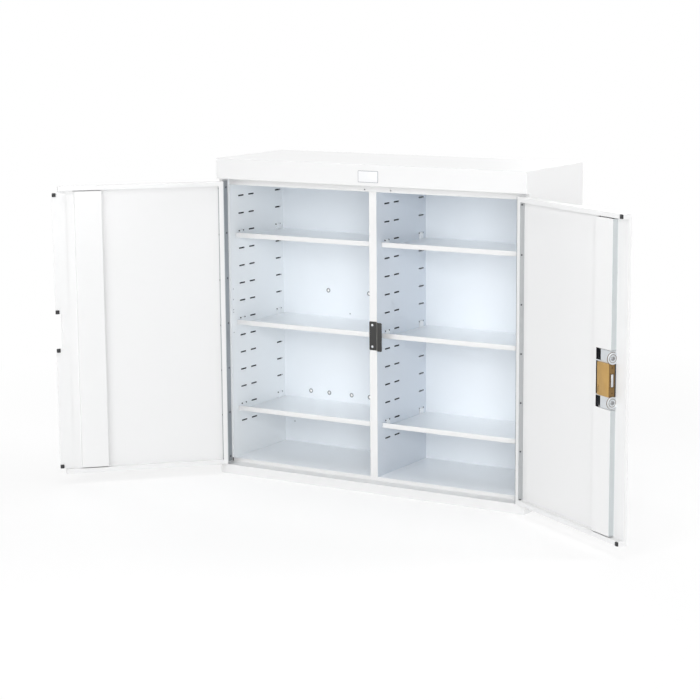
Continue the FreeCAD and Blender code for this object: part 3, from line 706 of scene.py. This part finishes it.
for side, hand in sides.items():
    door = side + "_door"
    heads = rivetRow(hingeLook["head"], hand * hingeLook["frameSeat"], hingeLook["frameY"], -hand)
    putPiece(side + "_frame_rivet_heads", heads, rivetSteel, "carcass", "zinc_steel", side + "_hinge_frame_rivets")
    heads = [onDoor(side, s) for s in rivetRow(hingeLook["head"], hingeLook["doorSeat"], hingeLook["doorV"], -1)]
    putPiece(door + "_rivet_heads", heads, rivetSteel, door, "zinc_steel", side + "_hinge_door_rivets")
    tails = [onDoor(side, s) for s in rivetRow(hingeLook["tail"], hingeLook["tailSeat"], hingeLook["doorV"], 1)]
    putPiece(door + "_rivet_tails", tails, tailSteel, door, "zinc_steel")
    strip = roundedBlock(*hingeLook["strip"], hingeLook["stripCorner"], hingeLook["stripEdge"])
    strip = onDoor(side, placed(strip, hingeLook["stripPlace"], faceRight))
    putPiece(side + "_hinge_strip", [strip], stripSteel, door, "hinge_steel")
print("hinge rivets made")

# Door buffers: soft black blocks, on the lap strips of the left door and on the corners of the right one
bufferLook = {
    "block": (10.0, 10.0, 3.5), "corner": 1.6, "edge": 1.0,
    "left": {"u": 451.0, "v": 11.1, "levels": (46.6, 363.0, 466.8, 778.7)},
    "right": {"u": 452.5, "v": 23.0, "levels": (34.0, 796.0)},
}
for side in sides:
    look = bufferLook[side]
    block = roundedBlock(*bufferLook["block"], bufferLook["corner"], bufferLook["edge"])
    pads = [onDoor(side, placed(block, (look["u"], look["v"], z), faceBack)) for z in look["levels"]]
    putPiece(side + "_buffer_set", pads, blackRubber, side + "_door", "black_rubber", side + "_door_buffers")
print("buffers made")

# Strike: a joggled plate with round corners, on two domed rivets
strikeLook = {
    "line": ((-11.0, -120.75), (9.5, -120.75), (21.0, -132.75), (33.2, -132.75)), "bend": 1.5, "middle": 413.0,
    "height": 76.0, "thickness": 1.5, "corner": 3.0, "tips": (0.1, 0.4, 0.9, 1.6, 2.3, 3.0), "edge": 0.4,
    "rivet": (3.2, 1.0), "rivetX": -2.0, "rivetY": -121.5, "rivetLevels": (384.5, 441.5),
}


def strikeShell(look):
    # the height is drawn in at both ends of the bent line, which rounds the plate's corners
    line = filleted(look["line"], look["bend"], look["tips"])
    widths = endRounded(line, look["height"], look["corner"])
    points, faces = bentStrip(line, widths, look["thickness"], look["edge"])
    return points + np.array([0, 0, look["middle"]]), faces


putPiece("strike_wing", [strikeShell(strikeLook)], strikePaint, "carcass", "dark_strike", "strike_plate")
heads = [
    placed(domed(*strikeLook["rivet"]), (strikeLook["rivetX"], strikeLook["rivetY"], z), faceFront)
    for z in strikeLook["rivetLevels"]
]
putPiece("strike_rivet_heads", heads, zincSteel, "carcass", "zinc_steel", "strike_rivets")
print("strike made")

# Lock: rounded cover with its pin, pins in the face, the bolt and cross-recessed screws, and dark pieces of painted
# shade round the cover pin, below it, at the bolt's mouth, round the ears and at the case's foot.
# Places on the right door: u along it from the hinge edge, v in from its outer face, z up; blocks are
# (width, height, depth, corner, edge) and domes (radius, height)
lockLook = {
    "back": 367.5, "face": 416.5, "middle": 413.0,
    "cover": (49.0, 78.0, 4.0, 1.6, 0.7), "coverSeat": 24.5,
    # the ring under the cover pin and the strip below it are dark pieces of painted shade
    "coverPin": (2.4, 1.3), "coverPinShadeRing": (3.4, 0.3), "coverPinPlace": (372.6, 396.0),
    "coverShadeStrip": (2.2, 11.0, 0.25, 1.0, 0.1), "coverShadeStripPlace": (372.6, 386.0),
    "facePin": (1.9, 0.35), "facePinV": 19.0, "facePinLevels": (383.0, 443.0),
    # a black strip at the foot of the face: painted shadow under the case
    "footShadowStrip": (3.2, 77.0, 0.5, 0.5, 0.2), "footShadowStripV": 10.7,
    # profiles of (radius, height) off the ear, turned about its screw
    "earRim": (
        (9.9, 0.1), (10.3, 0.9), (11.2, 1.5), (12.6, 1.7), (13.7, 1.3), (14.2, 0.5), (14.3, -2.0), (12.7, -2.0),
        (12.7, 0.05), (9.9, 0.1),
    ),
    # dark rings of painted shade: a groove line on the ear's face and an outline round the ear
    "earShadeLines": (
        ((9.0, 0.02), (9.0, 0.3), (10.1, 0.3), (10.1, 0.02), (9.0, 0.02)),
        ((14.2, -1.9), (14.2, -0.4), (15.0, -0.6), (15.0, -1.9), (14.2, -1.9)),
    ),
    "earSteps": 40,
    # the mouth is a dark sheet of painted shade round the bolt
    "mouth": (9.6, 34.0, 0.3, 1.0, 0.1), "bolt": (6.0, 30.0, 21.8, 1.2, 0.9), "boltBack": 21.0, "boltV": 19.0,
    "stem": (3.0, 16.0, 22.0, 0.6, 0.3), "stemV": 17.5,
    "screwSeat": 418.5, "screwV": 19.1, "screwLevels": (361.0, 465.0), "screwRadius": 5.0, "screwHeight": 2.5,
    "screwCrown": 0.72, "recess": (6.6, 2.0, 1.6), "recessSoft": (0.35, 0.5),
}


def screwShell(look, steps=64, rings=22):
    # domed head as height over (radius, angle), sunk where either arm of a cross covers the point
    span, arm, sink = look["recess"]
    sideSoft, endSoft = look["recessSoft"]
    share = np.linspace(0, 1, rings)[:, None]
    radius = share * look["screwRadius"]
    angle = np.arange(steps)[None, :] * 2 * np.pi / steps
    x, y = radius * np.cos(angle), radius * np.sin(angle)
    height = look["screwHeight"] * np.sqrt(1 - look["screwCrown"] * share ** 2) + 0 * angle
    near, far = np.minimum(np.abs(x), np.abs(y)), np.maximum(np.abs(x), np.abs(y))
    inside = np.clip((arm / 2 - near) / sideSoft + 0.5, 0, 1) * np.clip((span / 2 - far) / endSoft + 0.5, 0, 1)
    top = np.stack([x, y, height - sink * inside], -1)
    seat = np.stack([x[-1:], y[-1:], np.zeros((1, steps))], -1)
    points, (walls, ends) = closedRings(np.concatenate([seat, top[::-1]]))
    return points, [walls, ends[:1]]     # the seat's face only, since the top ends in a pole


def putOnRightDoor(name, shells, material, slotName, *nodes, body="right_door"):
    putPiece(name, [onDoor("right", shell) for shell in shells], material, body, slotName, *nodes)


look = lockLook
face, middle = look["face"], look["middle"]
coverTop = look["coverSeat"] + look["cover"][2]
pinU, pinZ = look["coverPinPlace"]
shadeStripU, shadeStripZ = look["coverShadeStripPlace"]
ears = [(look["screwSeat"], look["screwV"], z) for z in look["screwLevels"]]

cover = [
    placed(roundedBlock(*look["cover"]), ((look["back"] + face) / 2, look["coverSeat"], middle), faceBack),
    placed(domed(*look["coverPin"]), (pinU, coverTop, pinZ), faceBack),
]
putOnRightDoor("lock_cover", cover, lockBrass, "brass", "lock_cap")

rims = [placed(turned(look["earRim"], look["earSteps"]), ear, faceRight) for ear in ears]
putOnRightDoor("lock_ear_rims", rims, zincSteel, "zinc_steel")

# a black strip of painted shadow at the foot of the lock's face, in the buffers' black rubber
footShadowStrip = placed(roundedBlock(*look["footShadowStrip"]), (face, look["footShadowStripV"], middle), faceRight)
putOnRightDoor("lock_foot_shadow_strip", [footShadowStrip], blackRubber, "black_rubber")

# the real dark pins in the face, together with dark pieces of painted shade: the ring round the cover pin, the strip
# below it, the bolt's mouth and the lines round the ears
pinsAndShades = [
    placed(domed(*look["coverPinShadeRing"]), (pinU, coverTop, pinZ), faceBack),
    placed(roundedBlock(*look["coverShadeStrip"]), (shadeStripU, coverTop, shadeStripZ), faceBack),
    placed(roundedBlock(*look["mouth"]), (face, look["boltV"], middle), faceRight),
]
pinsAndShades += [placed(domed(*look["facePin"]), (face, look["facePinV"], z), faceRight) for z in look["facePinLevels"]]
pinsAndShades += [placed(turned(line, look["earSteps"]), ear, faceRight) for ear in ears for line in look["earShadeLines"]]
putOnRightDoor("lock_pins_and_shade_lines", pinsAndShades, lockPinsAndShade, "brass")

boltU = face - look["boltBack"]
bolt = [
    placed(roundedBlock(*look["bolt"]), (boltU, look["boltV"], middle), faceRight),
    placed(roundedBlock(*look["stem"]), (boltU - look["stem"][2], look["stemV"], middle), faceRight),
]
putOnRightDoor("bolt_bar", bolt, zincSteel, "zinc_steel", "lock_bolt", body="lock_bolt")

screws = [placed(screwShell(look), ear, faceRight) for ear in ears]
putOnRightDoor("lock_screw_heads", screws, screwSteel, "zinc_steel", "lock_screws")
print("lock made")

# Keyhole plate on the outside of the right door
plateLook = {
    "place": (396.5, 0.0, 387.0), "radius": 13.0, "thickness": 1.5, "hole": 4.0, "slotHalf": 2.0, "slotLength": 11.0,
    "holeEase": 0.25,
    "rim": ((1.2, 0.0), (0.4, 0.3), (0.0, 0.9)),     # (in from the edge, down from the top), over the rounded rim
}


def keyholeShell(look, steps=96):
    # rings over one turn: the keyhole's outline at two heights, then circles over the rim and down to the door;
    # the outline is the round hole, or further out where the slot below it reaches further
    angle = np.arange(steps) * 2 * np.pi / steps - np.pi / 2
    way = np.stack([np.cos(angle), np.sin(angle)], -1)
    sideways = look["slotHalf"] / np.maximum(np.abs(way[:, 0]), 1e-6)
    downwards = look["slotLength"] / np.maximum(-way[:, 1], 1e-6)
    hole = np.maximum(look["hole"], np.where(way[:, 1] < 0, np.minimum(sideways, downwards), 0))
    full, thick, ease = np.full(steps, look["radius"]), look["thickness"], look["holeEase"]
    rim = [full - inwards for inwards, down in look["rim"]]
    radii = np.stack([hole, hole, hole + ease, *rim, full, hole])
    heights = np.array([0, thick - ease, thick, *(thick - down for inwards, down in look["rim"]), 0, 0])
    rings = np.concatenate([radii[..., None] * way, np.repeat(heights, steps).reshape(len(heights), steps, 1)], -1)
    return rings.reshape(-1, 3), [gridFaces(len(heights), steps)]


plate = placed(keyholeShell(plateLook), plateLook["place"], faceFront)
putOnRightDoor("keyhole_plate", [plate], lockBrass, "zinc_steel", "keyhole_escutcheon")
print("keyhole plate made")

# Grommets in the back, and the small plugs seen on the back and on the left liner
grommetLook = {
    "panel": 138.8,
    "places": ((-363, 187.5), (-302, 187.5), (-228, 187.5), (-169, 187.5), (-302, 479), (-169, 479)),
    "profile": (
        (3.5, -1.2), (3.5, 0.7), (3.75, 1.05), (4.3, 1.2), (5.5, 1.1), (6.2, 0.7), (6.5, 0.2), (6.5, 0), (4.5, 0),
        (4.5, -1.2), (3.5, -1.2),
    ),
}
plugLook = {
    "backSize": (2.0, 0.5), "backPlaces": ((-231, 418), (-419, 93.5)),
    "linerSize": (1.5, 0.4), "liner": -451.0, "linerY": -110.0, "linerLevels": (504, 475, 447, 440, 384),
}
panel = grommetLook["panel"]
rings = [placed(turned(grommetLook["profile"]), (x, panel, z), faceFront) for x, z in grommetLook["places"]]
putPiece("grommet_rings", rings, greyPlastic, "carcass", "grey_plastic", "wall_grommets")
plugs = [placed(domed(*plugLook["backSize"]), (x, panel, z), faceFront) for x, z in plugLook["backPlaces"]]
plugs += [
    placed(domed(*plugLook["linerSize"]), (plugLook["liner"], plugLook["linerY"], z), faceRight)
    for z in plugLook["linerLevels"]
]
putPiece("blanking_plugs", plugs, greyPlastic, "carcass", "grey_plastic")
print("grommets and plugs made")

# Bare label plate with a soft raised edge
plate = roundedBlock(*labelLook["plate"], labelLook["corner"], labelLook["edge"])
plate = placed(plate, labelLook["middle"], faceFront)
putPiece("header_plate", [plate], labelPlastic, "carcass", "label_plastic", "label_plate")
print("label plate made")


# Floor, world and lamps

stageLook = {
    "floorHalf": 9.0, "floorWhite": 0.96, "shadowShare": 0.35, "shadowReach": (0.9, 2.2),
    "worldWhite": (0.99, 0.995, 1.0), "worldStrength": 0.185,
    "lamps": {
        "front_low": {"place": (-1.8, -5.4, 1.7), "aim": (0.0, 0.0, 0.42), "size": 3.0, "power": 31.0},
        "front_high": {"place": (-0.4, -4.8, 3.4), "aim": (0.0, 0.0, 0.42), "size": 3.0, "power": 75.0},
        "camera_side": {"place": (2.9, -4.8, 1.4), "aim": (0.0, 0.0, 0.42), "size": 2.5, "power": 115.0},
        "top": {"place": (0.0, -0.2, 4.4), "aim": (0.0, -0.1, 0.0), "size": 3.0, "power": 76.0},
        "back_right": {"place": (4.4, 2.4, 2.2), "aim": (0.4, 0.0, 0.6), "size": 2.5, "power": 120.0},
        "back_left": {"place": (-4.6, 1.6, 2.2), "aim": (-0.4, 0.0, 0.5), "size": 2.5, "power": 66.0},
        "back": {"place": (-0.6, 5.0, 2.0), "aim": (0.0, 0.0, 0.45), "size": 3.0, "power": 24.0},
    },
}


def seenDirectly(start):
    # 1 for what the camera sees, also in a mirror or through glass, 0 for light that falls on the object
    kinds = ("Is Camera Ray", "Is Glossy Ray", "Is Transmission Ray")
    camera, glossy, through = [start.node("ShaderNodeLightPath", {}, {}, kind) for kind in kinds]
    return start.maths("MAXIMUM", start.maths("MAXIMUM", camera, glossy), through)


def makeFloor(look):
    half = look["floorHalf"]
    corners = np.array([[-half, -half, 0], [half, -half, 0], [half, half, 0], [-half, half, 0]])
    mesh = bpy.data.meshes.new("studio_floor")
    mesh.from_pydata(corners.tolist(), [], [[0, 1, 2, 3]])
    floor = bpy.data.objects.new("studio_floor", mesh)
    bpy.context.collection.objects.link(floor)
    material, start, place = newFinish("studio_floor")
    white = look["floorWhite"]
    paper = start.node("ShaderNodeBsdfDiffuse", {}, {"Color": (white, white, white, 1)})
    glow = start.node("ShaderNodeEmission", {}, {"Color": (1, 1, 1, 1), "Strength": 1.0})
    # the shadow fades out with the distance from the middle, so the floor runs into the white world unseen
    away = start.node("ShaderNodeVectorMath", {"operation": "LENGTH"}, {0: place}, "Value")
    near, far = look["shadowReach"]
    fade = start.node("ShaderNodeMapRange", {"clamp": True}, {"Value": away, "From Min": near, "From Max": far})
    share = look["shadowShare"] * (1 - fade)
    cover = start.node("ShaderNodeMixShader", {}, {0: seenDirectly(start) * (1 - share), 1: paper, 2: glow})
    start.node("ShaderNodeOutputMaterial", {}, {"Surface": cover})
    mesh.materials.append(material)


def makeWorld(look):
    world = bpy.data.worlds.new("studio")
    bpy.context.scene.world = world
    world.use_nodes = True
    world.node_tree.nodes.clear()
    start = Signal(world.node_tree)
    soft = {"Color": (*look["worldWhite"], 1), "Strength": look["worldStrength"]}
    soft = start.node("ShaderNodeBackground", {}, soft)
    clear = start.node("ShaderNodeBackground", {}, {"Color": (1, 1, 1, 1), "Strength": 1.0})
    sky = start.node("ShaderNodeMixShader", {}, {0: seenDirectly(start), 1: soft, 2: clear})
    start.node("ShaderNodeOutputWorld", {}, {"Surface": sky})


def makeLamp(name, look):
    data = bpy.data.lights.new(name, "AREA")
    data.shape, data.size, data.energy = "DISK", look["size"], look["power"]
    lamp = bpy.data.objects.new(name, data)
    lamp.location = look["place"]
    way = Vector(look["aim"]) - Vector(look["place"])
    lamp.rotation_mode = "QUATERNION"
    lamp.rotation_quaternion = way.to_track_quat("-Z", "Y")
    bpy.context.collection.objects.link(lamp)


makeFloor(stageLook)
makeWorld(stageLook)
for lampName, lampLook in stageLook["lamps"].items():
    makeLamp(lampName + "_lamp", lampLook)
print("floor, world and lamps made")
